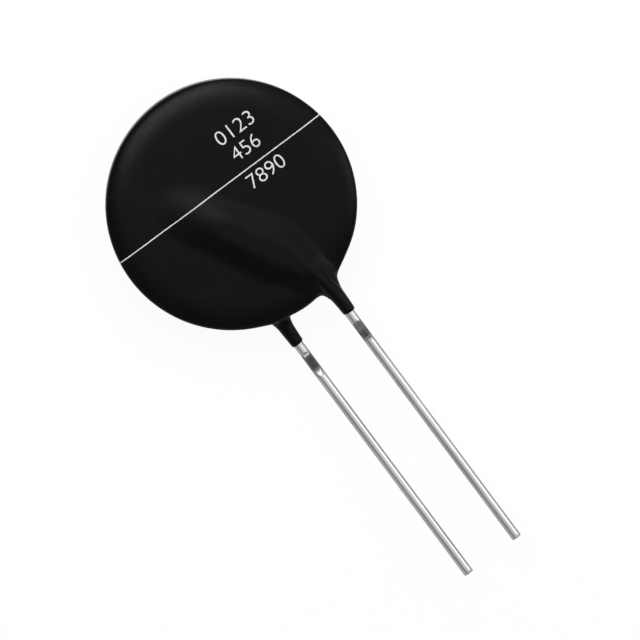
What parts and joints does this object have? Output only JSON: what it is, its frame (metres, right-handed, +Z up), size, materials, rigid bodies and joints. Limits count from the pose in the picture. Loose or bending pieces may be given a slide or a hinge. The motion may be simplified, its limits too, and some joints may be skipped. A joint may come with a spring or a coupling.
{
  "type": "ntc thermistor",
  "caption": "Leaded disc thermistor that limits inrush current: a black coated ceramic disc with two straight tinned wire leads stepped to its middle plane.",
  "frame": {"origin": "middle of the underside of the lying part, on the surface that it rests on", "axes": "+Z up from the surface and along the disc's axis, through the face with the printing; the leads run towards -Y"},
  "size_m": [0.0252, 0.0568, 0.0064],
  "materials": {
    "coating": "satin black dipped epoxy",
    "ceramic": "sintered metal oxide, dark grey",
    "silver": "fired silver layer",
    "solder": "bright tin solder",
    "tinned_wire": "bright tinned copper wire",
    "marking": "pale printed ink"
  },
  "bodies": {
    "root": {"coating": "coating", "ceramic_disc": "ceramic", "front_electrode": "silver", "back_electrode": "silver", "front_solder": "solder", "back_solder": "solder", "front_lead": "tinned_wire", "back_lead": "tinned_wire"}
  },
  "joints": []
}
